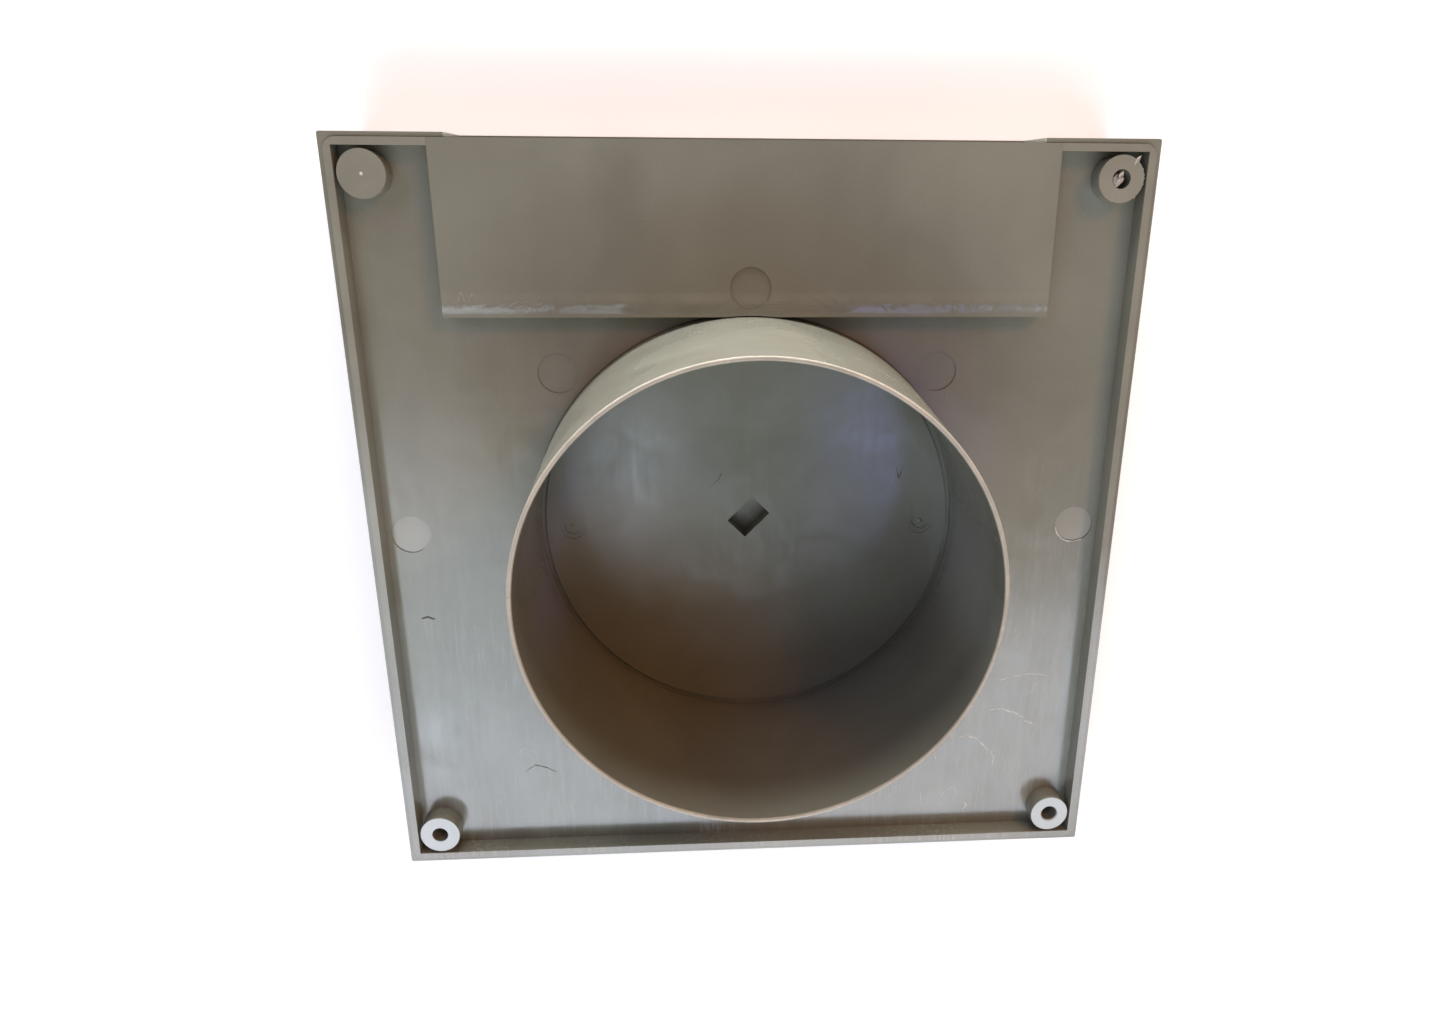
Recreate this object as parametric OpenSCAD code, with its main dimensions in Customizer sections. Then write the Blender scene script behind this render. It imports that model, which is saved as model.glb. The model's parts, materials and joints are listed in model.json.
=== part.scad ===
/* [Housing] */
// Outside width of the square cover
cover_w = 175; // [174:0.5:178]
// Depth of the cover below the ceiling plane
cover_depth = 30; // [30:0.5:34]
// Thickness of the cover's room-side panel
panel_t = 2.5; // [2.4:0.1:2.8]
// Thickness of the cover's wall below the tray
cover_wall_t = 2; // [1.8:0.1:2.4]
// Chamfer round the room-side edge
edge_chamfer = 2.5; // [1:0.5:3]

/* [Back tray] */
// Thickness of the upstanding rim
rim_t = 1.6; // [1.2:0.1:1.8]
// Depth of the tray floor below the ceiling plane
tray_depth = 5; // [4.5:0.5:5]
// Thickness of the tray floor
floor_t = 2; // [1.8:0.1:2]
// Distance between the centres of neighbouring screw posts
post_pitch = 158.8; // [157:0.2:160]
// Radius of a screw post
post_r = 4.9; // [4.5:0.1:5]
// Radius of the pilot hole in a screw post
post_hole_r = 2; // [1.6:0.1:2.2]
// Half width of the raised pad over the outlet
pad_half_w = 65.9; // [65:0.1:66.5]
// Distance from the duct axis to the pad's near edge
pad_y = 50.5; // [50.4:0.1:51]

/* [Duct collar] */
// Height of the collar above the ceiling plane
collar_h = 43.3; // [38:0.1:50]
// Outside radius at the collar's tip
collar_tip_r = 49; // [48.6:0.1:49.4]
// Outside radius where the collar meets the tray
collar_root_r = 50.7; // [50.5:0.1:50.8]
// Wall thickness at the tip
collar_tip_t = 1; // [0.8:0.1:1.2]

/* [Valve] */
// Radius of the disc's raised centre
plateau_r = 48.8; // [48:0.1:49]
// Depth of the disc's face below the ceiling plane when closed
disc_depth = 11; // [11:0.1:11.2]
// Travel of the disc from closed to fully open
travel = 5; // [4:0.1:5]
// Distance of each guide pin from the duct axis
pin_x = 42.5; // [42:0.1:43]
// Radius of a guide pin
pin_r = 2; // [1.8:0.1:2]

/* [Dial] */
// Radius of the dial's face
dial_r = 18; // [17.5:0.1:18.2]
// Radius of the dial's sleeve
sleeve_r = 12; // [11.5:0.1:12.5]
// Radius of the disc's threaded hub
hub_r = 8; // [7.9:0.1:8.2]

/* [Vanes] */
// Distance between neighbouring vanes
vane_pitch = 16; // [15:0.1:16]
// Length of a vane along the air stream
vane_chord = 22; // [20:0.5:22]
// Thickness of a vane
vane_t = 1.6; // [1.4:0.1:2]
// Distance from a vane's pivot to its link pin
crank = 9; // [8.5:0.1:9]

/* [Hidden] */
$fn = 96;
eps = 0.01;
cut = 1;

plastic = "#a39a8d";
plastic_dark = "#8f867b";

// Cover and tray
cover_top_z = -0.6;
cover_z = -cover_depth;
panel_z = cover_z + panel_t;
tray_gap = 0.1;
cover_rim_t = 0.9;
tray_w = cover_w - 2 * cover_rim_t - 2 * tray_gap;
tray_corner_r = 2.8;
cover_corner_r = 0.5;
inner_w = tray_w - 2 * rim_t;
floor_z = -tray_depth;
tray_z = floor_z - floor_t;
post_x = post_pitch / 2;
ledge_w = cover_w - 2 * cover_wall_t;

// Snap beads between cover and tray
bead_z = -4.5;
bead_h = 1;
bead_out = 0.35;
bead_l = 20;
bead_x = 45;
bead_gap = 0.15;

// Outlet slot under the pad
slot_half_w = 62.5;
lip_z = -17;
pad_t = 2;
pad_wall_t = 1.5;
seam = 0.03;

// Ejector marks
mark_r = 4.5;
mark_t = 0.3;
mark_floor_x = 43;
mark_floor_y = 37.6;
mark_pad_y = 56.6;
mark_side_x = post_x;

// Collar below the tray
seat_z = -11.35;
seat_r = 52.5;
seat_bore_r = 50;
seat_bevel = 0.7;
shoulder_gap = 0.1;
lip_r = 0.45;

// Disc
disc_z = -disc_depth;
web_t = 2;
step_t = 0.6;
flange_r = 53.5;
rib_r = 46.6;
seal_in_r = 51.2;
seal_out_r = 52.5;
seal_t = 0.6;
seal_groove_t = 0.4;
fit_gap = 0.06;
hub_z = -22.5;
pocket_w = 8.5;
pocket_d = 6;
pocket_depth = 5;
pocket_y = 1.2;
pin_mark_w = 4.6;
pin_mark_l = 4;
pin_mark_r = 2.8;
pin_mark_t = 0.2;
pin_mark_y = -0.9;
pin_len = 11.2;
pin_top_z = disc_z - 1.1;
guide_boss_r = 4.5;
guide_boss_z = -14.8;
guide_tube_r = 4;
open_gap = 0.4;
guide_top_z = guide_boss_z - travel - open_gap;
guide_floor_z = cover_z + 1.5;
disc_rib_t = 1.6;
disc_rib_z = -14.3;

// Dial
dial_face_t = 3;
dial_gap = 0.3;
cup_r = dial_r + dial_gap + 2.2;
cup_ceiling_z = cover_z + dial_face_t + 0.5;
cup_top_z = cup_ceiling_z + 2.5;
sleeve_top_z = disc_rib_z - travel - open_gap;
dial_floor_z = cover_z + 1.6;
ring_z = cup_top_z + 0.3;
ring_t = 1;
ring_depth = 0.9;
ring_out_r = 13.6;
ring_slot = 6;
oring_r = 15;
oring_wire_r = 0.6;
oring_groove_w = 1.4;
oring_groove_t = 0.75;
dimple_r = 4.2;
dimple_x = 13;
dimple_depth = 1.4;
pointer_w = 1.2;
pointer_depth = 0.6;

// Vane cassette
vane_count = 7;
vane_y = 71;
blade_top_z = -5.1;
blade_z = -16.4;
vane_pin_r = 1.5;
vane_pin_gap = 0.05;
vane_pin_top_z = -2.5;
vane_pin_z = -18.6;
vane_boss_r = 2.2;
link_pin_r = 1.2;
link_pin_top_z = -3.1;
link_hole_r = 1.6;
link_bore_r = link_pin_r + 0.06;
link_z = -4.6;
link_t = 1.7;
link_half_d = 2.5;
tab_t = 3;
tab_end = 15.3;
tab_z = -14;
tab_h = 6;
base_t = 2;
base_half_w = 62;
base_y = 60;
base_end_y = 85.4;
end_t = 2;
end_y = 66;
end_l = 18;
rail_y = 67.5;
rail_l = 7.5;
rail_top_z = -2.1;
ear_x = 68;
ear_r = 4;
ear_y = 70;
ear_half_w = 3;
ear_mid_x = 64;
ear_half_l = 3;
screw_r = 1.25;
screw_head_r = 2.8;
screw_head_t = 1.6;
screw_z = -25;
screw_gap = 0.1;
boss_r = 3.2;
slot_w = 0.8;
shelf_rib_t = 1.5;
shelf_rib_x = 40;

// Square with rounded corners
module rounded_square(w, r) {
    square([w - 2 * r, w], center = true);
    square([w, w - 2 * r], center = true);
    for (x = [-1, 1], y = [-1, 1])
        translate([x * (w / 2 - r), y * (w / 2 - r)])
            circle(r);
}

// Upright box given by its low corner and its high corner
module block(low, high) {
    translate(low)
        cube(high - low);
}

// Cylinder between two heights
module rod(x, y, r, z_low, z_high) {
    translate([x, y, z_low])
        cylinder(r = r, h = z_high - z_low);
}

// Beads that hold the tray in the cover, and their grooves in the rim
module snap_beads(out, gap) {
    reach = tray_w / 2 + tray_gap - out;
    half_l = bead_l / 2 + gap;
    depth = out + eps;
    for (a = [0, 90, 180], s = [-1, 1])
        rotate([0, 0, a + 90])
            block([s * bead_x - half_l, reach, bead_z - gap],
                [s * bead_x + half_l, reach + depth, bead_z + bead_h + gap]);
}

module back_tray() {
    color(plastic)
    difference() {
        union() {
            difference() {
                translate([0, 0, tray_z])
                    linear_extrude(-tray_z)
                        rounded_square(tray_w, tray_corner_r);
                translate([0, 0, floor_z])
                    linear_extrude(-floor_z + cut)
                        square(inner_w, center = true);
            }
            for (x = [-1, 1], y = [-1, 1])
                rod(x * post_x, y * post_x, post_r, floor_z - eps, 0);
        }
        block([-pad_half_w - seam, pad_y - seam, tray_z - cut], [pad_half_w + seam, tray_w / 2 + cut, cut]);
        tray_cuts();
    }
}

// Raised shallow box over the outlet, level with the rim
module outlet_pad() {
    cavity_x = pad_half_w - pad_wall_t;
    cavity_y = pad_y + pad_wall_t;
    color(plastic)
    difference() {
        block([-pad_half_w, pad_y, tray_z], [pad_half_w, tray_w / 2, 0]);
        block([-cavity_x, cavity_y, tray_z - cut], [cavity_x, inner_w / 2, -pad_t]);
        block([-slot_half_w, inner_w / 2 - cut, tray_z - cut], [slot_half_w, tray_w / 2 + cut, -pad_t]);
        rod(0, 0, collar_root_r + shoulder_gap, tray_z - cut, cut);
        rod(0, mark_pad_y, mark_r, -mark_t, cut);
    }
}

module tray_cuts() {
    rod(0, 0, collar_root_r + shoulder_gap, tray_z - cut, cut);
    for (p = [[-1, -1], [1, -1], [1, 1]])
        rod(p[0] * post_x, p[1] * post_x, post_hole_r, tray_z + 0.8, cut);
    translate([post_x, -post_x, -0.3])
        cylinder(r1 = post_hole_r, r2 = post_hole_r + 0.3 + eps, h = 0.3 + eps);
    for (x = [-1, 1]) {
        rod(x * mark_floor_x, mark_floor_y, mark_r, floor_z - mark_t, floor_z + cut);
        rod(x * mark_side_x, 0, mark_r, floor_z - mark_t, floor_z + cut);
    }
    snap_beads(bead_out + bead_gap, bead_gap);
}

module duct_collar() {
    tip_in_r = collar_tip_r - collar_tip_t;
    tip_z = collar_h - lip_r;
    color(plastic)
        rotate_extrude($fn = 192) {
            polygon([
                [tip_in_r, tip_z], [seat_bore_r, seat_z + seat_bevel],
                [seat_bore_r + seat_bevel, seat_z], [seat_r, seat_z],
                [seat_r, tray_z - shoulder_gap / 2], [collar_root_r, tray_z - shoulder_gap / 2],
                [collar_root_r, floor_z], [collar_tip_r, tip_z]]);
            translate([tip_in_r + lip_r, tip_z])
                circle(lip_r, $fn = 32);
            translate([collar_tip_r - lip_r, tip_z])
                circle(lip_r, $fn = 32);
            translate([tip_in_r + lip_r, tip_z - eps])
                square([collar_tip_t - 2 * lip_r, lip_r + eps]);
        }
}

module front_cover() {
    color(plastic)
    difference() {
        union() {
            difference() {
                translate([0, 0, cover_z])
                    linear_extrude(cover_top_z - cover_z)
                        rounded_square(cover_w, cover_corner_r);
                cover_hollow();
            }
            rod(0, 0, cup_r, panel_z - eps, cup_top_z);
            for (x = [-1, 1]) {
                rod(x * pin_x, 0, guide_tube_r, panel_z - eps, guide_top_z);
                rod(x * ear_x, ear_y, boss_r, panel_z - eps, lip_z - base_t);
            }
            for (x = [-1, 0, 1])
                block([x * shelf_rib_x - shelf_rib_t / 2, base_y + 2, panel_z - eps],
                    [x * shelf_rib_x + shelf_rib_t / 2, ledge_w / 2 + eps, lip_z - base_t]);
            snap_beads(bead_out, 0);
        }
        cover_cuts();
    }
}

module cover_hollow() {
    block([-ledge_w / 2, -ledge_w / 2, panel_z], [ledge_w / 2, ledge_w / 2, cut]);
    upper_w = tray_w + 2 * tray_gap;
    translate([0, 0, tray_z])
        linear_extrude(cut - tray_z)
            rounded_square(upper_w, tray_corner_r + tray_gap);
}

module cover_cuts() {
    rod(0, 0, dial_r + dial_gap, cover_z - cut, cup_ceiling_z);
    rod(0, 0, sleeve_r + fit_gap, cup_ceiling_z - eps, cup_top_z + cut);
    for (x = [-1, 1]) {
        rod(x * pin_x, 0, pin_r + fit_gap, guide_floor_z, guide_top_z + cut);
        rod(x * ear_x, ear_y, screw_r + screw_gap / 2, screw_z - cut, lip_z);
    }
    block([-slot_half_w, ledge_w / 2 - cut, lip_z], [slot_half_w, cover_w / 2 + cut, cut]);
    for (a = [0, 90, 180, 270])
        rotate([0, 0, a])
            translate([0, -cover_w / 2, cover_z])
                rotate([45, 0, 0])
                    cube([cover_w + 2 * cut, edge_chamfer * sqrt(2), edge_chamfer * sqrt(2)],
                        center = true);
}

module valve_disc() {
    color(plastic_dark)
    difference() {
        union() {
            rotate_extrude($fn = 192)
                polygon([
                    [0, disc_z], [plateau_r, disc_z], [plateau_r, disc_z - step_t],
                    [flange_r, disc_z - step_t], [flange_r, disc_z - step_t - web_t],
                    [rib_r, disc_z - step_t - web_t], [rib_r, disc_z - web_t],
                    [hub_r, disc_z - web_t], [hub_r, hub_z], [0, hub_z]]);
            for (x = [-1, 1])
                rod(x * pin_x, 0, guide_boss_r - 0.6, guide_boss_z, disc_z - web_t + eps);
            for (a = [45, 135])
                rotate([0, 0, a])
                    block([-rib_r - eps, -disc_rib_t / 2, disc_rib_z],
                        [rib_r + eps, disc_rib_t / 2, disc_z - web_t + eps]);
        }
        translate([0, pocket_y, disc_z - pocket_depth])
            rotate([0, 0, 45])
                block([-pocket_w / 2, -pocket_d / 2, 0], [pocket_w / 2, pocket_d / 2, pocket_depth + cut]);
        for (x = [-1, 1]) {
            rod(x * pin_x, 0, pin_r, guide_boss_z - cut, pin_top_z);
            rod(x * pin_x, pin_mark_y, pin_mark_r, disc_z - pin_mark_t, disc_z + cut);
            block([x * pin_x - pin_mark_w / 2, pin_mark_y, disc_z - pin_mark_t],
                [x * pin_x + pin_mark_w / 2, pin_mark_y + pin_mark_l + 1, disc_z + cut]);
        }
        rotate_extrude($fn = 192)
            translate([seal_in_r - 0.1, disc_z - step_t - seal_groove_t])
                square([seal_out_r - seal_in_r + 0.2, seal_groove_t + cut]);
    }
}

module valve_seal() {
    color("#3a3a3a")
        rotate_extrude($fn = 192)
            translate([seal_in_r, disc_z - step_t - seal_groove_t])
                square([seal_out_r - seal_in_r, seal_t]);
}

module guide_pins() {
    color("#b8b8b8")
        for (x = [-1, 1])
            rod(x * pin_x, 0, pin_r, pin_top_z - pin_len, pin_top_z);
}

module dial() {
    color(plastic)
    difference() {
        union() {
            rod(0, 0, dial_r, cover_z, cover_z + dial_face_t);
            rod(0, 0, sleeve_r, cover_z, sleeve_top_z);
        }
        rod(0, 0, hub_r + fit_gap, dial_floor_z, sleeve_top_z + cut);
        translate([0, 0, ring_z])
            rotate_extrude()
                translate([sleeve_r - ring_depth, 0])
                    square([ring_depth + cut, ring_t]);
        translate([0, 0, cover_z + dial_face_t])
            rotate_extrude()
                translate([oring_r - oring_groove_w / 2, -oring_groove_t])
                    square([oring_groove_w, oring_groove_t + cut]);
        for (x = [-1, 1])
            rod(x * dimple_x, 0, dimple_r, cover_z - cut, cover_z + dimple_depth);
        block([-pointer_w / 2, 11, cover_z - cut], [pointer_w / 2, 16, cover_z + pointer_depth]);
    }
}

module dial_snap_ring() {
    in_r = sleeve_r - ring_depth + 0.05;
    color("#6f7275")
    difference() {
        translate([0, 0, ring_z + 0.05])
            rotate_extrude()
                translate([in_r, 0])
                    square([ring_out_r - in_r, ring_t - 0.1]);
        block([-ring_slot / 2, 0, ring_z - cut], [ring_slot / 2, ring_out_r + cut, ring_z + ring_t + cut]);
    }
}

module dial_oring() {
    color("#2b2b2b")
        translate([0, 0, cover_z + dial_face_t - oring_groove_t + oring_wire_r])
            rotate_extrude()
                translate([oring_r, 0])
                    circle(oring_wire_r, $fn = 32);
}

module vane_base() {
    base_z = lip_z - base_t;
    end_top_z = link_z;
    color(plastic_dark)
    difference() {
        union() {
            block([-base_half_w, base_y, base_z], [base_half_w, base_end_y, lip_z]);
            for (x = [-1, 1]) {
                block([x * (base_half_w - end_t / 2) - end_t / 2, end_y, lip_z - eps],
                    [x * (base_half_w - end_t / 2) + end_t / 2, end_y + end_l, end_top_z]);
                rod(x * ear_x, ear_y, ear_r, base_z, lip_z);
                block([x * ear_mid_x - ear_half_l, ear_y - ear_half_w, base_z],
                    [x * ear_mid_x + ear_half_l, ear_y + ear_half_w, lip_z]);
            }
        }
        for (i = [0 : vane_count - 1])
            rod(vane_x(i), vane_y, vane_pin_r + vane_pin_gap, base_z - cut, lip_z + cut);
        for (x = [-1, 1])
            rod(x * ear_x, ear_y, screw_r + screw_gap, base_z - cut, lip_z + cut);
    }
}

module vane_rail() {
    color(plastic_dark)
    difference() {
        block([-base_half_w, rail_y, link_z], [base_half_w, rail_y + rail_l, rail_top_z]);
        for (i = [0 : vane_count - 1])
            rod(vane_x(i), vane_y, vane_pin_r + vane_pin_gap, link_z - cut, rail_top_z + cut);
    }
}

module cassette_screws() {
    color("#c4c4c0")
        for (x = [-1, 1])
            difference() {
                union() {
                    rod(x * ear_x, ear_y, screw_r, screw_z, lip_z + eps);
                    rod(x * ear_x, ear_y, screw_head_r, lip_z, lip_z + screw_head_t);
                }
                for (a = [0, 90])
                    translate([x * ear_x, ear_y, lip_z + screw_head_t])
                        rotate([0, 0, a])
                            cube([3.6, slot_w, 1.6], center = true);
            }
}

function vane_x(i) = (i - (vane_count - 1) / 2) * vane_pitch;

// One vane; the middle one carries the thumb tab and the link's tight pin
module vane(i) {
    half = vane_chord / 2 - vane_t / 2;
    color(plastic_dark)
        translate([vane_x(i), vane_y, 0]) {
            block([-vane_t / 2, -half, blade_z], [vane_t / 2, half, blade_top_z]);
            rod(0, -half, vane_t / 2, blade_z, blade_top_z);
            rod(0, half, vane_t / 2, blade_z, blade_top_z);
            rod(0, 0, vane_boss_r, blade_z, blade_top_z);
            rod(0, 0, vane_pin_r, vane_pin_z, vane_pin_top_z);
            rod(0, -crank, link_pin_r + 0.5, blade_top_z - 3, blade_top_z);
            rod(0, -crank, link_pin_r, blade_top_z - eps, link_pin_top_z);
            if (i == (vane_count - 1) / 2) {
                block([-tab_t / 2, half - 1, tab_z], [tab_t / 2, tab_end - tab_t / 2, tab_z + tab_h]);
                rod(0, tab_end - tab_t / 2, tab_t / 2, tab_z, tab_z + tab_h);
            }
        }
}

module vane_link() {
    half_l = vane_x(vane_count - 1) + link_half_d - 0.5;
    link_y = vane_y - crank;
    color(plastic_dark)
    difference() {
        union() {
            block([-half_l, link_y - link_half_d, link_z], [half_l, link_y + link_half_d, link_z + link_t]);
            for (x = [-1, 1])
                rod(x * half_l, link_y, link_half_d, link_z, link_z + link_t);
        }
        for (i = [0 : vane_count - 1])
            rod(vane_x(i), link_y, i == (vane_count - 1) / 2 ? link_bore_r : link_hole_r,
                link_z - cut, link_z + link_t + cut);
    }
}

back_tray();
outlet_pad();
duct_collar();
front_cover();
valve_disc();
valve_seal();
guide_pins();
dial();
dial_snap_ring();
dial_oring();
vane_base();
vane_rail();
cassette_screws();
vane(0);  // vane_1
vane(1);  // vane_2
vane(2);  // vane_3
vane(3);  // vane_4
vane(4);  // vane_5
vane(5);  // vane_6
vane(6);  // vane_7
vane_link();
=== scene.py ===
import json
import math
import random

import bmesh
import bpy
from mathutils import Euler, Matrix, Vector


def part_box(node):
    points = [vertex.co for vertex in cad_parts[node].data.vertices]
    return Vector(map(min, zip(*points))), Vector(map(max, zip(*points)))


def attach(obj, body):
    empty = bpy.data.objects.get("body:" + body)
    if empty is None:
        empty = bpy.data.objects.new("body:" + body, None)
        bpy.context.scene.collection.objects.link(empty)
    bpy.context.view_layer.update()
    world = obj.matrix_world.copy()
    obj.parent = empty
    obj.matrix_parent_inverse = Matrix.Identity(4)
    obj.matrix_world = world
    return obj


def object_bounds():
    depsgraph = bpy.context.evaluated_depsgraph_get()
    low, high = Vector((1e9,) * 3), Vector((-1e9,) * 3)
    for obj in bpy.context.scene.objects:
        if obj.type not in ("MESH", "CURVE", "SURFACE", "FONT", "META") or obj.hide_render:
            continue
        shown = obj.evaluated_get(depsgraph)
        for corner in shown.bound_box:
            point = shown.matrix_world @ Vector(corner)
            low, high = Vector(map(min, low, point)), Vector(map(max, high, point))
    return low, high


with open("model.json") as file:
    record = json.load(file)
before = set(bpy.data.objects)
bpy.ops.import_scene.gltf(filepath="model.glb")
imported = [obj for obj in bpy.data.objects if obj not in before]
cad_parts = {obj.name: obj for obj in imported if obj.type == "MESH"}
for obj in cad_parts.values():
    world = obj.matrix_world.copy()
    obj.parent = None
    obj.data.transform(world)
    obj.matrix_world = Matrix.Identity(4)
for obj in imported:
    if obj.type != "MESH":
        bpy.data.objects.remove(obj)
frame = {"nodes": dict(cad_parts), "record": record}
cadBox = [list(corner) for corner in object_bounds()]
print("frame loaded")

mm = 0.001


# sRGB hex to the linear colour that the shaders take
def hexColour(code):
    parts = [int(code[i:i + 2], 16) / 255 for i in (1, 3, 5)]
    linear = [p / 12.92 if p <= 0.04045 else ((p + 0.055) / 1.055) ** 2.4 for p in parts]
    return (*linear, 1.0)


# adds one shader node with its settings and links. A node given as a value means its first
# enabled output, From and To take both ends of a range at once, and in0, in1 and so on are inputs by number.
def addNode(tree, kind, setup=None, **sockets):
    node = tree.nodes.new("ShaderNode" + kind)
    for name, value in (setup or {}).items():
        setattr(node, name, value)
    for name, value in sockets.items():
        if name in ("From", "To"):
            node.inputs[name + " Min"].default_value, node.inputs[name + " Max"].default_value = value
            continue
        if name[-1].isdigit():
            socket = node.inputs[int(name[-1])]
        else:
            socket = next(s for s in node.inputs if s.enabled and s.name == name.replace("_", " "))
        if isinstance(value, bpy.types.Node):
            value = next(s for s in value.outputs if s.enabled)
        if isinstance(value, bpy.types.NodeSocket):
            tree.links.new(value, socket)
        else:
            socket.default_value = value
    return node


# a material with an empty node tree
def emptyMaterial(name):
    material = bpy.data.materials.new(name)
    material.use_nodes = True
    material.node_tree.nodes.clear()
    return material, material.node_tree


# looking down into the duct collar from above the outlet side
cameraSet = {
    "eye": (-11.4, 77.8, 224.8),  # mm
    "turn": (-19.438, -3.898, 0.360),  # degrees about X, Y, Z
    "lens": 25.28,
    "sensor": 36.0,
    "shift": (-0.0325, 0.0182),
    "near": 10.0,  # mm
}
cameraData = bpy.data.cameras.new("camera")
cameraData.lens = cameraSet["lens"]
cameraData.sensor_width = cameraSet["sensor"]
cameraData.shift_x, cameraData.shift_y = cameraSet["shift"]
cameraData.clip_start = cameraSet["near"] * mm
camera = bpy.data.objects.new("camera", cameraData)
camera.location = Vector(cameraSet["eye"]) * mm
camera.rotation_euler = [math.radians(a) for a in cameraSet["turn"]]
bpy.context.scene.collection.objects.link(camera)
bpy.context.scene.camera = camera
print("camera placed")

# Moulded ABS in warm grey. Injection moulded against a polished tool: a satin-gloss skin that
# mirrors softly, with faint cloudy flow tone, slight sink waviness and fine handling scratches.
# Lengths are in mm, and a stretch below 1 draws a pattern out along that axis. Each fade is the
# pair of noise levels between which its pattern comes in. The grain is drawn coarse enough to show.
absLook = {
    "tone": "#868779",
    "shade": "#7a7a6d",
    "cloud": 38.0,
    "cloudFade": (0.35, 0.65),
    "streak": "#919284",
    "flow": 4.0,
    "flowStretch": (0.35, 0.05, 0.35),  # melt ran along Y
    "flowFade": (0.4, 0.7),
    "flowShade": 0.12,
    # dark brown of the grain speckle, also used for the painted shade in the inside corners
    "grimeAndShade": "#453a2a",
    "grain": 0.45,
    "grainFade": (0.3, 0.7),
    "grainShade": 0.08,
    "grainDepth": 0.005,
    "cornerShadeReach": 2.5,  # how far the painted shade reaches out of an inside corner
    "cornerShadeFade": (0.25, 0.8),
    "cornerShade": 0.14,
    "scratch": 0.3,
    "scratchTurn": 0.9,
    "scratchStretch": (1.0, 0.04, 0.2),
    "scratchFade": (0.70, 0.76),
    "scratchDull": 0.15,
    "scratchDepth": 0.008,
    "handled": 22.0,  # size of the patches that hands and tools scratched
    "handledFade": (0.52, 0.68),
    "polish": 0.9,
    "polishStretch": (1.0, 0.03, 1.0),
    "polishFade": (0.35, 0.65),
    "polishRough": 0.02,
    "polishDepth": 0.003,
    "smear": 14.0,
    "smearFade": (0.3, 0.7),
    "film": 1.1,  # width of the dried wiping streaks
    "filmSheenTone": "#b4b9b4",
    "filmStretch": (1.0, 0.09, 1.0),
    "filmTurn": 0.06,
    "filmFade": (0.46, 0.68),
    "filmPatch": (0.36, 0.62),
    "filmSheenEnd": (-30.0, 5.0),  # Y over which the streaks die out
    "filmSheenAmount": 0.0,
    "filmDull": 0.2,
    "topHighlightPatch": (0.3, 0.65),
    "topHighlightDull": 0.12,
    "spots": [],
    "spotEdge": 0.3,
    "ridgePatch": (0.35, 0.65),
    "wave": 9.0,
    "waveDepth": 0.05,
    "ior": 1.54,
    "rough": (0.14, 0.24),
}


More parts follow.
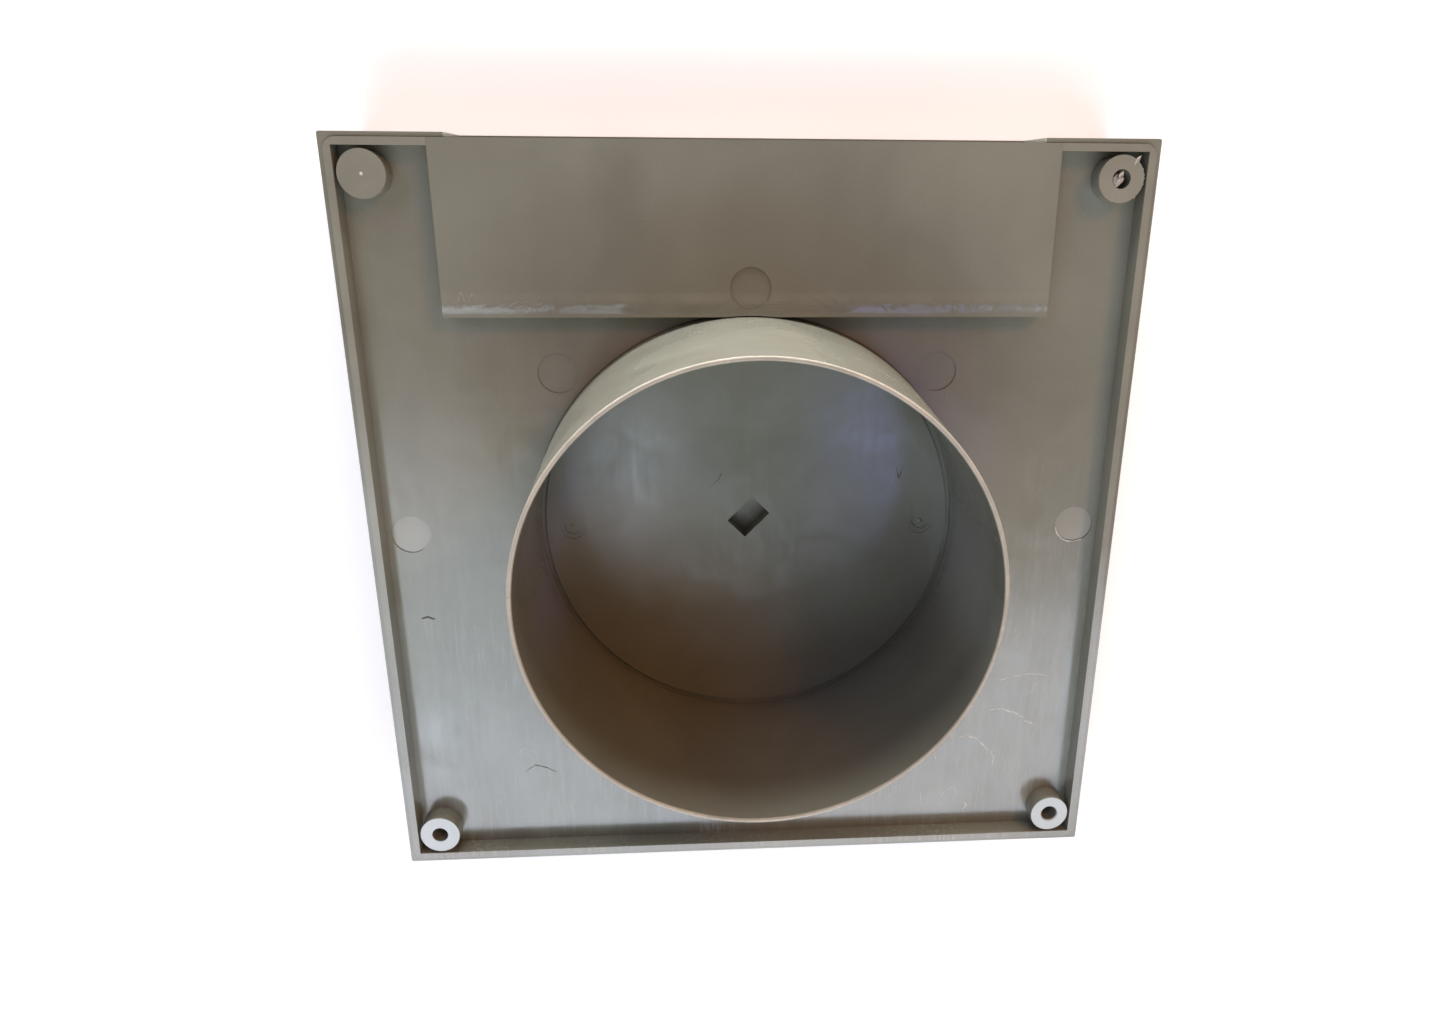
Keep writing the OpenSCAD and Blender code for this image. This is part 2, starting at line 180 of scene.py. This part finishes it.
def mouldedAbs(name, look):
    material, tree = emptyMaterial(name)
    # coordinates in millimetres, so that each scale below is one over a real size
    place = addNode(tree, "TexCoord").outputs["Object"]
    coords = addNode(tree, "Mapping", Vector=place, Scale=(1 / mm, 1 / mm, 1 / mm))
    axes = addNode(tree, "SeparateXYZ", Vector=coords)

    clouds = addNode(tree, "TexNoise", Vector=coords, Scale=1 / look["cloud"], Detail=3.0, Distortion=0.6)
    cloudMask = addNode(tree, "MapRange", Value=clouds, From=look["cloudFade"])
    colour = addNode(tree, "Mix", {"data_type": "RGBA"}, Factor=cloudMask,
                     A=hexColour(look["shade"]), B=hexColour(look["tone"]))
    flowCoords = addNode(tree, "Mapping", Vector=coords, Scale=look["flowStretch"])
    flow = addNode(tree, "TexNoise", Vector=flowCoords, Scale=1 / look["flow"], Detail=3.0)
    flowMask = addNode(tree, "MapRange", Value=flow, From=look["flowFade"], To=(0.0, look["flowShade"]))
    colour = addNode(tree, "Mix", {"data_type": "RGBA"}, Factor=flowMask,
                     A=colour, B=hexColour(look["streak"]))
    grain = addNode(tree, "TexNoise", Vector=coords, Scale=1 / look["grain"])
    grainMask = addNode(tree, "MapRange", Value=grain, From=look["grainFade"], To=(0.0, look["grainShade"]))
    colour = addNode(tree, "Mix", {"data_type": "RGBA"}, Factor=grainMask,
                     A=colour, B=hexColour(look["grimeAndShade"]))

    # painted shade: an occlusion mask darkens the inside corners towards the dark brown of grime
    if look["cornerShade"]:
        corner = addNode(tree, "AmbientOcclusion", {"samples": 6}, Distance=look["cornerShadeReach"] * mm)
        cornerShadeMask = addNode(tree, "MapRange", Value=corner.outputs["AO"], From=look["cornerShadeFade"],
                       To=(look["cornerShade"], 0.0))
        colour = addNode(tree, "Mix", {"data_type": "RGBA"}, Factor=cornerShadeMask,
                         A=colour, B=hexColour(look["grimeAndShade"]))

    # hairline scratches: thin bands of a stretched noise, in patches where hands and tools went
    hairCoords = addNode(tree, "Mapping", Vector=coords, Rotation=(0.0, 0.0, look["scratchTurn"]),
                         Scale=look["scratchStretch"])
    hair = addNode(tree, "TexNoise", Vector=hairCoords, Scale=1 / look["scratch"], Detail=1.0)
    hairLines = addNode(tree, "MapRange", Value=hair, From=look["scratchFade"])
    patches = addNode(tree, "TexNoise", Vector=coords, Scale=1 / look["handled"])
    patchMask = addNode(tree, "MapRange", Value=patches, From=look["handledFade"])
    worn = addNode(tree, "Math", {"operation": "MULTIPLY"}, in0=hairLines, in1=patchMask)

    # tool polishing left faint streaks along Y, seen where the floor mirrors a light
    polishCoords = addNode(tree, "Mapping", Vector=coords, Scale=look["polishStretch"])
    polish = addNode(tree, "TexNoise", Vector=polishCoords, Scale=1 / look["polish"],
                     Detail=3.0, Roughness=0.6)
    smear = addNode(tree, "TexNoise", Vector=coords, Scale=1 / look["smear"],
                    Detail=4.0, Roughness=0.6, Distortion=1.2)
    smeared = addNode(tree, "MapRange", Value=smear, From=look["smearFade"], To=look["rough"])
    streaky = addNode(tree, "MapRange", Value=polish, From=look["polishFade"],
                      To=(-look["polishRough"], look["polishRough"]))
    rough = addNode(tree, "Math", {"operation": "ADD"}, in0=smeared, in1=streaky)
    rough = addNode(tree, "Math", {"operation": "MULTIPLY_ADD"}, in0=worn, in1=look["scratchDull"], in2=rough)

    # a damp cloth dried in streaks along Y, in patches on the half away from the outlet; their pale bluish
    # colour is painted sheen
    if look["filmSheenAmount"]:
        filmCoords = addNode(tree, "Mapping", Vector=coords, Scale=look["filmStretch"],
                             Rotation=(0.0, 0.0, look["filmTurn"]))
        film = addNode(tree, "TexNoise", Vector=filmCoords, Scale=1 / look["film"],
                       Detail=4.0, Roughness=0.65)
        filmLines = addNode(tree, "MapRange", Value=film, From=look["filmFade"])
        filmPatch = addNode(tree, "MapRange", Value=smear, From=look["filmPatch"],
                            To=(0.0, look["filmSheenAmount"]))
        filmSheenEnd = addNode(tree, "MapRange", Value=axes.outputs["Y"], From=look["filmSheenEnd"], To=(1.0, 0.0))
        filmSheenMask = addNode(tree, "Math", {"operation": "MULTIPLY"}, in0=filmLines, in1=filmPatch)
        filmSheenMask = addNode(tree, "Math", {"operation": "MULTIPLY"}, in0=filmSheenMask, in1=filmSheenEnd)
        colour = addNode(tree, "Mix", {"data_type": "RGBA"}, Factor=filmSheenMask,
                         A=colour, B=hexColour(look["filmSheenTone"]))
        rough = addNode(tree, "Math", {"operation": "MULTIPLY_ADD"}, in0=filmSheenMask,
                        in1=look["filmDull"], in2=rough)

    # painted highlight: the faces that stand highest are painted paler in uneven patches and made duller
    if "topFaceHighlight" in look:
        low, high, amount, tone = look["topFaceHighlight"]
        topHighlight = addNode(tree, "MapRange", Value=axes.outputs["Z"], From=(low, high), To=(0.0, amount))
        uneven = addNode(tree, "MapRange", Value=smear, From=look["topHighlightPatch"], To=(0.5, 1.0))
        topHighlight = addNode(tree, "Math", {"operation": "MULTIPLY"}, in0=topHighlight, in1=uneven)
        colour = addNode(tree, "Mix", {"data_type": "RGBA"}, Factor=topHighlight, A=colour, B=hexColour(tone))
        rough = addNode(tree, "Math", {"operation": "MULTIPLY_ADD"}, in0=topHighlight, in1=look["topHighlightDull"], in2=rough)

    # round pale spots, alike on the left and right: on the lower post tops a painted highlight, beside the
    # collar the paleness that ejectors sheared
    for across, along, reach, low, high, amount, tone in look["spots"]:
        mirrored = addNode(tree, "Math", {"operation": "ABSOLUTE"}, in0=axes.outputs["X"])
        flat = addNode(tree, "CombineXYZ", X=mirrored, Y=axes.outputs["Y"])
        away = addNode(tree, "VectorMath", {"operation": "DISTANCE"}, in0=flat, in1=(across, along, 0.0))
        near = addNode(tree, "MapRange", Value=away, From=(reach, reach + look["spotEdge"]), To=(amount, 0.0))
        level = addNode(tree, "MapRange", Value=axes.outputs["Z"], From=(low, high))
        spot = addNode(tree, "Math", {"operation": "MULTIPLY"}, in0=near, in1=level)
        colour = addNode(tree, "Mix", {"data_type": "RGBA"}, Factor=spot, A=colour, B=hexColour(tone))

    waves = addNode(tree, "TexNoise", Vector=coords, Scale=1 / look["wave"])
    bump = addNode(tree, "Bump", Height=waves, Distance=look["waveDepth"] * mm, Strength=0.5)
    bump = addNode(tree, "Bump", Height=polish, Distance=look["polishDepth"] * mm, Strength=0.5, Normal=bump)
    bump = addNode(tree, "Bump", Height=grain, Distance=look["grainDepth"] * mm, Strength=0.6, Normal=bump)
    bump = addNode(tree, "Bump", {"invert": True}, Height=worn, Distance=look["scratchDepth"] * mm,
                   Strength=0.4, Normal=bump)

    # plastic shrank unevenly over the wall under the pad's edge, and a low ridge stands along it
    if "ridge" in look:
        low, middle, high, height = look["ridge"]
        smooth = {"interpolation_type": "SMOOTHSTEP"}
        rise = addNode(tree, "MapRange", smooth, Value=axes.outputs["Y"], From=(low, middle))
        fall = addNode(tree, "MapRange", smooth, Value=axes.outputs["Y"], From=(high, middle))
        uneven = addNode(tree, "MapRange", Value=smear, From=look["ridgePatch"], To=(0.3, 1.0))
        ridge = addNode(tree, "Math", {"operation": "MULTIPLY"}, in0=rise, in1=fall)
        ridge = addNode(tree, "Math", {"operation": "MULTIPLY"}, in0=ridge, in1=uneven)
        bump = addNode(tree, "Bump", Height=ridge, Distance=height * mm, Strength=1.0, Normal=bump)

    shader = addNode(tree, "BsdfPrincipled", Base_Color=colour, Roughness=rough, IOR=look["ior"], Normal=bump)
    addNode(tree, "OutputMaterial", Surface=shader)
    return material


# EPDM rubber, moulded: dull black with a bloom of pale dust
rubberLook = {
    "tone": "#1b1b1a",
    "bloom": "#3b3936",
    "cloud": 5.0,
    "bloomFade": (0.4, 0.7),
    "bloomShade": 0.8,
    "grain": 0.3,
    "grainDepth": 0.02,
    "ior": 1.52,
    "rough": (0.55, 0.75),
}


def epdmRubber(name, look):
    material, tree = emptyMaterial(name)
    place = addNode(tree, "TexCoord").outputs["Object"]
    coords = addNode(tree, "Mapping", Vector=place, Scale=(1 / mm, 1 / mm, 1 / mm))
    bloom = addNode(tree, "TexNoise", Vector=coords, Scale=1 / look["cloud"], Detail=4.0, Roughness=0.6)
    grain = addNode(tree, "TexNoise", Vector=coords, Scale=1 / look["grain"])
    dusty = addNode(tree, "MapRange", Value=bloom, From=look["bloomFade"], To=(0.0, look["bloomShade"]))
    colour = addNode(tree, "Mix", {"data_type": "RGBA"}, Factor=dusty,
                     A=hexColour(look["tone"]), B=hexColour(look["bloom"]))
    rough = addNode(tree, "MapRange", Value=bloom, From=(0.3, 0.7), To=look["rough"])
    bump = addNode(tree, "Bump", Height=grain, Distance=look["grainDepth"] * mm, Strength=0.5)
    shader = addNode(tree, "BsdfPrincipled", Base_Color=colour, IOR=look["ior"], Roughness=rough, Normal=bump)
    addNode(tree, "OutputMaterial", Surface=shader)
    return material


# Small steel parts, turned or stamped: bright metal with fine lines that go round or along them
steelLooks = {
    "groundStainless": {"tone": "#b9b8b4", "dark": "#8e8d89", "line": 0.12, "rough": (0.22, 0.38)},
    "oiledSpringSteel": {"tone": "#5c5f63", "dark": "#3b3d40", "line": 0.25, "rough": (0.28, 0.45)},
    "zincPlate": {"tone": "#c9ccc8", "dark": "#a9aca2", "line": 0.4, "rough": (0.25, 0.42)},
}
steelPattern = {"lineStretch": (1.0, 1.0, 6.0), "lineDepth": 0.01, "stain": 3.0, "stainFade": (0.35, 0.7)}


def smallSteel(name, look):
    material, tree = emptyMaterial(name)
    place = addNode(tree, "TexCoord").outputs["Object"]
    coords = addNode(tree, "Mapping", Vector=place, Scale=(1 / mm, 1 / mm, 1 / mm))
    lineCoords = addNode(tree, "Mapping", Vector=coords, Scale=steelPattern["lineStretch"])
    lines = addNode(tree, "TexNoise", Vector=lineCoords, Scale=1 / look["line"], Detail=3.0)
    stain = addNode(tree, "TexNoise", Vector=coords, Scale=1 / steelPattern["stain"], Detail=3.0)
    stained = addNode(tree, "MapRange", Value=stain, From=steelPattern["stainFade"])
    colour = addNode(tree, "Mix", {"data_type": "RGBA"}, Factor=stained,
                     A=hexColour(look["tone"]), B=hexColour(look["dark"]))
    rough = addNode(tree, "MapRange", Value=stain, From=(0.3, 0.7), To=look["rough"])
    bump = addNode(tree, "Bump", Height=lines, Distance=steelPattern["lineDepth"] * mm, Strength=0.5)
    shader = addNode(tree, "BsdfPrincipled", Base_Color=colour, Metallic=1.0, Roughness=rough, Normal=bump)
    addNode(tree, "OutputMaterial", Surface=shader)
    return material


# Bruised plastic: ABS that a scuff or a tear has stress-whitened and left dull. Dried grime is a
# dull, slightly rough skin too, in the brown of dirt.
bruiseLooks = {
    "whitenedAbs": {"tone": "#d8dad4", "shade": "#bebfb7", "grain": 0.25, "ior": 1.54, "rough": 0.45},
    "chippedAbs": {"tone": "#a5a094", "shade": "#918c80", "grain": 0.3, "ior": 1.54, "rough": 0.4},
    "driedGrime": {"tone": "#4f4b3e", "shade": "#3f3b30", "grain": 0.3, "ior": 1.5, "rough": 0.5},
}
bruisePattern = {"grainFade": (0.35, 0.65), "grainDepth": 0.03}


def dullSkin(name, look):
    material, tree = emptyMaterial(name)
    place = addNode(tree, "TexCoord").outputs["Object"]
    coords = addNode(tree, "Mapping", Vector=place, Scale=(1 / mm, 1 / mm, 1 / mm))
    grain = addNode(tree, "TexNoise", Vector=coords, Scale=1 / look["grain"], Detail=3.0)
    grainMask = addNode(tree, "MapRange", Value=grain, From=bruisePattern["grainFade"])
    colour = addNode(tree, "Mix", {"data_type": "RGBA"}, Factor=grainMask,
                     A=hexColour(look["shade"]), B=hexColour(look["tone"]))
    bump = addNode(tree, "Bump", Height=grain, Distance=bruisePattern["grainDepth"] * mm, Strength=0.6)
    shader = addNode(tree, "BsdfPrincipled", Base_Color=colour, IOR=look["ior"], Roughness=look["rough"],
                     Normal=bump)
    addNode(tree, "OutputMaterial", Surface=shader)
    return material


# heights and places that the finishes and marks go by, in mm, from the frame
floorThick = 2.0
postInset = 8.1  # from the housing's side to a corner post's centre
guidePinRadius = 2.0
postAt = cadBox[1][0] / mm - postInset
sideSpotAt = 79.2  # centre of the pale spot on each ejector mark beside the collar
sideMarkRadius = 4.5
guideMarkY = -0.4  # centre of the pip and ring on each guide mark
guideRingRadius = 2.1
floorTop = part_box("back_tray")[0][2] / mm + floorThick
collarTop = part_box("duct_collar")[1][2] / mm
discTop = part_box("valve_disc")[1][2] / mm
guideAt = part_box("guide_pins")[1][0] / mm - guidePinRadius

# what differs from absLook on each moulding
absKinds = {
    "housing": {},
    "inner": {
        "tone": "#7e8073",
        "shade": "#737568",
        "flowStretch": (0.05, 0.35, 0.35),
        "cornerShade": 0.0,
    },
    "tray": {
        # dried wiping streaks with painted sheen
        "filmSheenAmount": 0.3,
        # lowest and highest Z, amount and tone of the painted highlight on the tops of the rim and posts
        "topFaceHighlight": (-0.5, -0.1, 0.18, "#b0aa9a"),
        # across, along, radius, lowest and highest Z, amount and tone of each spot
        "spots": [
            (postAt, -postAt, 4.7, -0.3, -0.1, 0.85, "#bcc5c3"),  # painted highlight on the tops of the lower posts
            (sideSpotAt, 0.0, 4.3, floorTop - 0.45, floorTop - 0.35, 0.35, "#b4b4ab"),  # sheared by ejectors
        ],
    },
    "pad": {"ridge": (51.0, 53.4, 56.0, 0.32)},  # Y of the ridge's start, middle and end, and its height
    "collar": {
        "cornerShade": 0.0,
        "grainShade": 0.03,
        "grainDepth": 0.0015,
        "handledFade": (0.9, 1.0),
        "polish": 7.0,
        # painted highlight on the top of the lip
        "topFaceHighlight": (collarTop - 0.5, collarTop - 0.1, 0.6, "#d0c6b2"),
    },
}
absFinish = {}
for kind, change in absKinds.items():
    absFinish[kind] = mouldedAbs("mouldedAbs" + kind.title(), dict(absLook, **change))
bruises = {name: dullSkin(name, look) for name, look in bruiseLooks.items()}
steels = {name: smallSteel(name, look) for name, look in steelLooks.items()}
slotMaterials = {
    "housing_abs": absFinish["housing"],
    "inner_abs": absFinish["inner"],
    "seal_rubber": epdmRubber("mouldedEpdm", rubberLook),
    "pin_steel": steels["groundStainless"],
    "spring_steel": steels["oiledSpringSteel"],
    "screw_zinc": steels["zincPlate"],
}
# the tray, pad and collar share a slot but get finishes of their own: wear, a ridge and painted highlights
nodeMaterials = {
    "back_tray": absFinish["tray"],
    "outlet_pad": absFinish["pad"],
    "duct_collar": absFinish["collar"],
}
print("materials made")

# moulded edges have a small radius, in mm
edgeSet = {
    "radius": {"back_tray": 0.22, "front_cover": 0.25, "valve_disc": 0.12, "dial": 0.3},
    "vaneRadius": 0.2,
    "segments": 2,
    "angle": 40.0,  # degrees between faces, above which an edge is rounded
}
for entry in frame["record"]["subparts"]:
    node = entry["node"]
    piece = frame["nodes"][node]
    piece.data.materials.clear()
    piece.data.materials.append(nodeMaterials.get(node, slotMaterials[entry["material_slot"]]))
    radius = edgeSet["radius"].get(node, edgeSet["vaneRadius"] if node.startswith("vane_") else 0)
    if radius:
        bevel = piece.modifiers.new("mouldedEdge", "BEVEL")
        bevel.width = radius * mm
        bevel.segments = edgeSet["segments"]
        bevel.limit_method = "ANGLE"
        bevel.angle_limit = math.radians(edgeSet["angle"])
        bevel.harden_normals = True
print("CAD pieces dressed")


# turns a bmesh into an object that rides on a body and wears the finish it is given
def placePiece(bm, name, body, material, smooth=False):
    mesh = bpy.data.meshes.new(name)
    bm.to_mesh(mesh)
    bm.free()
    for face in mesh.polygons:
        face.use_smooth = smooth
    mesh.materials.append(material)
    piece = bpy.data.objects.new(name, mesh)
    bpy.context.scene.collection.objects.link(piece)
    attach(piece, body)


# lumpy closed blob: an icosphere pulled about at random, with flat facets like torn plastic
def addChip(bm, centre, size, turn, chance):
    spin = Euler([math.radians(a) for a in turn]).to_matrix()
    for vert in bmesh.ops.create_icosphere(bm, subdivisions=2, radius=1.0)["verts"]:
        shape = Vector([c * k for c, k in zip(vert.co, size)]) * chance.uniform(0.78, 1.12)
        vert.co = (spin @ shape + Vector(centre)) * mm


# a screw was torn out of this post: chips in its bore, a burr down its outer side and a spike
tornPost = {
    # centre from the post's own, size and turn of each chip, in mm and degrees
    "chips": [
        ((-0.55, -0.75, -0.35), (0.62, 1.5, 0.55), (10, 5, -38)),
        ((-0.1, 0.85, -0.3), (0.5, 1.05, 0.5), (-8, 0, -30)),
        ((-1.1, -0.3, -0.8), (0.8, 1.3, 0.6), (0, 20, -20)),
    ],
    "burr": [(4.4, 1.9), (4.75, 1.0), (4.9, 0.1), (4.75, -0.9), (4.4, -1.8), (3.9, -2.7), (3.3, -3.5)],
    "burrSize": 0.28,
    "spike": ((3.05, 3.75, -0.1), (0.42, 1.25, 0.3), (0, 0, -32)),
    "seed": 11,
}
chance = random.Random(tornPost["seed"])
bm = bmesh.new()
for centre, size, turn in tornPost["chips"] + [tornPost["spike"]]:
    addChip(bm, (postAt + centre[0], postAt + centre[1], centre[2]), size, turn, chance)
for x, y in tornPost["burr"]:
    across = tornPost["burrSize"] * chance.uniform(0.6, 1.2)
    lean = chance.uniform(-30, 30)
    addChip(bm, (postAt + x, postAt + y, -0.25), (across, across * 1.7, 0.22), (0, 0, lean), chance)
placePiece(bm, "tornPostFlash", "housing", bruises["chippedAbs"])

# low round pips that gates and ejectors left: centre, radius and height in mm, body, slot, finish
pipSet = {
    "blindPostPip": ((-postAt, postAt, -0.05), 0.36, 0.12,
                     "housing", "housing_abs", bruises["whitenedAbs"]),
    "guideMarkPipLeft": ((-guideAt, guideMarkY, discTop - 0.2), 0.45, 0.18,
                         "valve", "inner_abs", absFinish["inner"]),
    "guideMarkPipRight": ((guideAt, guideMarkY, discTop - 0.2), 0.55, 0.2,
                          "valve", "inner_abs", absFinish["inner"]),
}
for name, (centre, radius, height, body, slot, material) in pipSet.items():
    bm = bmesh.new()
    bmesh.ops.create_icosphere(bm, subdivisions=3, radius=1.0)
    for vert in bm.verts:
        vert.co = (Vector(centre) + Vector((vert.co.x * radius, vert.co.y * radius, vert.co.z * height))) * mm
    placePiece(bm, name, body, material, smooth=True)


# points on a circle, for a scuff that runs round something
def arcPoints(centreX, centreY, radius, angles):
    return [(centreX + radius * math.cos(a), centreY + radius * math.sin(a)) for a in angles]


# lengths in mm
scuffSet = {
    "rise": 0.03,
    "step": 0.6,
    "drift": 0.1,
    "seed": 5,
    # each group: height, body, slot, finish, then the width and points in mm of each scuff
    "groups": {
        "trayScuffs": (floorTop, "housing", "housing_abs", "whitenedAbs", [
            (0.22, [(62.5, -43.0), (66.5, -41.3), (71.0, -40.5), (75.5, -40.8), (79.5, -41.6)]),
            (0.45, [(62.0, -50.6), (65.5, -50.4), (69.0, -51.6), (71.6, -53.2)]),
            (0.40, [(71.8, -54.0), (73.0, -54.4), (74.4, -55.2)]),
            (0.35, [(54.5, -58.6), (56.8, -57.9), (59.3, -58.8), (61.5, -61.0), (63.4, -62.9)]),
            (0.25, [(63.6, -62.8), (64.6, -64.6), (64.4, -67.2)]),
            (0.20, [(51.2, -77.0), (52.2, -74.4), (54.2, -73.4), (55.6, -76.4)]),
            (0.32, [(57.4, -78.2), (58.4, -79.2), (57.4, -80.6)]),
            (0.18, [(45.6, -74.8), (45.9, -79.4)]),
            (0.15, [(48.5, -61.6), (49.4, -66.4)]),
            (0.15, [(72.0, -47.0), (74.0, -43.4), (75.6, -42.0)]),
            (0.18, [(-60.0, -59.3), (-57.5, -58.1), (-54.4, -59.6)]),
            (0.30, arcPoints(sideSpotAt, 0.0, sideMarkRadius, (3.3, 3.7, 4.1, 4.5, 4.9, 5.3))),
        ]),
        "traySmears": (floorTop, "housing", "housing_abs", "driedGrime", [
            (0.55, [(-79.2, -21.4), (-77.6, -21.0), (-76.0, -21.6)]),
            (0.30, [(-57.6, -64.6), (-55.0, -62.9), (-52.4, -63.6), (-49.4, -65.2)]),
        ]),
        "padScuffs": (0.0, "housing", "housing_abs", "chippedAbs", [
            (0.14, [(-62.8, 53.2), (-61.6, 56.2), (-60.9, 53.0)]),
            (0.12, [(-60.2, 53.4), (-59.3, 55.8), (-58.4, 53.6)]),
        ]),
        "discScuffs": (discTop, "valve", "inner_abs", "driedGrime", [
            (0.28, [(36.0, 13.2), (36.7, 10.4), (37.6, 13.6)]),
            (0.16, [(-9.0, 9.2), (-7.4, 10.6), (-6.4, 12.4)]),
            (0.16, arcPoints(guideAt, guideMarkY, guideRingRadius, (2.6, 3.4, 4.2, 5.0, 5.8))),
            (0.12, arcPoints(-guideAt, guideMarkY, guideRingRadius, (3.0, 3.8, 4.6, 5.4))),
        ]),
    },
}


# thin raised thread of bruised plastic along a line, tapering at both ends
def addScuff(bm, line, width, z, chance):
    joined = []
    for (x0, y0), (x1, y1) in zip(line, line[1:]):
        steps = max(2, int(math.hypot(x1 - x0, y1 - y0) / scuffSet["step"]))
        joined += [(x0 + (x1 - x0) * i / steps, y0 + (y1 - y0) * i / steps) for i in range(steps)]
    joined.append(line[-1])
    rows = []
    for i, (x, y) in enumerate(joined):
        before = joined[max(i - 1, 0)]
        after = joined[min(i + 1, len(joined) - 1)]
        along = Vector((after[0] - before[0], after[1] - before[1])).normalized()
        across = Vector((-along.y, along.x))
        taper = math.sin(math.pi * (i + 0.35) / (len(joined) - 0.3)) ** 0.5
        half = across * width / 2 * taper * chance.uniform(0.4, 1.3)
        middle = Vector((x, y)) + across * chance.uniform(-1, 1) * scuffSet["drift"]
        rows.append([
            bm.verts.new(Vector((*(middle - half), z)) * mm),
            bm.verts.new(Vector((*middle, z + scuffSet["rise"])) * mm),
            bm.verts.new(Vector((*(middle + half), z)) * mm),
        ])
    for first, second in zip(rows, rows[1:]):
        bm.faces.new((first[0], second[0], second[1], first[1]))
        bm.faces.new((first[1], second[1], second[2], first[2]))
        bm.faces.new((first[0], first[2], second[2], second[0]))
    bm.faces.new((rows[0][0], rows[0][1], rows[0][2]))
    bm.faces.new((rows[-1][2], rows[-1][1], rows[-1][0]))


chance = random.Random(scuffSet["seed"])
for name, (z, body, slot, finish, scuffs) in scuffSet["groups"].items():
    bm = bmesh.new()
    for width, line in scuffs:
        addScuff(bm, line, width, z, chance)
    placePiece(bm, name, body, bruises[finish])
print("marks added")

# plain pale floor, a hair under the room face
floorSet = {
    "size": 6.0,  # m
    "drop": 0.3,  # mm
    "tone": "#fbfaf9",
    "rough": 0.8,
    "glow": 0.22,
}
half = floorSet["size"] / 2
floorZ = cadBox[0][2] - floorSet["drop"] * mm
corners = [(x * half, y * half, floorZ) for x, y in ((-1, -1), (1, -1), (1, 1), (-1, 1))]
floorMesh = bpy.data.meshes.new("floor")
floorMesh.from_pydata(corners, [], [(0, 1, 2, 3)])
floor = bpy.data.objects.new("floor", floorMesh)
bpy.context.scene.collection.objects.link(floor)
# matt emulsion paint on a board: even and without gloss
floorPaint, floorTree = emptyMaterial("matteEmulsion")
floorShader = addNode(floorTree, "BsdfPrincipled", Base_Color=hexColour(floorSet["tone"]),
                      Roughness=floorSet["rough"], Emission_Color=hexColour(floorSet["tone"]),
                      Emission_Strength=floorSet["glow"])
addNode(floorTree, "OutputMaterial", Surface=floorShader)
floorMesh.materials.append(floorPaint)

# places and sizes in metres, power in watts
lightSet = {
    "windowKey": {"at": (0.12, -0.74, 1.08), "aim": (0.0, -0.03, 0.0), "size": (1.5, 0.34), "power": 9.6,
                  "tone": "#e2ecff"},
    "windowLow": {"at": (0.1, -1.2, 1.1), "aim": (0.0, 0.0, 0.0), "size": (0.9, 0.3), "power": 4.4,
                  "tone": "#fff6e6"},
    "skySheetLeft": {"at": (-0.42, -0.46, 1.1), "aim": (0.0, 0.0, 0.0), "size": (0.4, 0.35), "power": 1.9,
                     "tone": "#e4f2ff"},
    "lowSheet": {"at": (-0.2, 1.0, -0.006), "aim": (0.0, 0.0, 0.012), "size": (1.6, 0.04), "power": 14.0,
                 "tone": "#f6f6ff"},
    "sideSky": {"at": (-0.75, 0.55, 0.95), "aim": (0.0, 0.0, 0.0), "size": (0.6, 0.4), "power": 2.6,
                "tone": "#c4c4ff"},
    "lampWarm": {"at": (0.55, 0.6, 0.75), "aim": (0.0, -0.02, 0.0), "size": (0.25, 0.25), "power": 2.8,
                 "tone": "#ffa765"},
    "skyPatchRight": {"at": (0.266, -0.283, 1.15), "aim": (0.035, 0.018, -0.01), "size": (0.13, 0.22),
                      "power": 0.34, "tone": "#a9b4ff"},
    "skyPatchLeft": {"at": (-0.11, -0.30, 1.15), "aim": (-0.024, 0.014, -0.01), "size": (0.1, 0.16),
                     "power": 0.27, "tone": "#dfeaff"},
    "backdropWash": {"at": (0.0, 0.42, 0.05), "aim": (0.0, 0.16, -0.03), "size": (0.9, 0.12), "power": 2.2,
                     "tone": "#ffffff"},
}
for name, setup in lightSet.items():
    lamp = bpy.data.lights.new(name, "AREA")
    lamp.shape = "RECTANGLE"
    lamp.size, lamp.size_y = setup["size"]
    lamp.energy = setup["power"]
    lamp.color = hexColour(setup["tone"])[:3]
    lampObject = bpy.data.objects.new(name, lamp)
    lampObject.location = setup["at"]
    beam = Vector(setup["aim"]) - Vector(setup["at"])
    lampObject.rotation_euler = beam.to_track_quat("-Z", "Y").to_euler()
    lampObject.visible_camera = False
    bpy.context.scene.collection.objects.link(lampObject)

roomSet = {"tone": "#dfcdb0", "strength": 0.30}
room = bpy.data.worlds.new("room")
room.use_nodes = True
room.node_tree.nodes.clear()
roomLight = addNode(room.node_tree, "Background", Color=hexColour(roomSet["tone"]),
                    Strength=roomSet["strength"])
addNode(room.node_tree, "OutputWorld", Surface=roomLight)
bpy.context.scene.world = room
bpy.context.scene.view_settings.view_transform = "Standard"
print("floor and light placed")
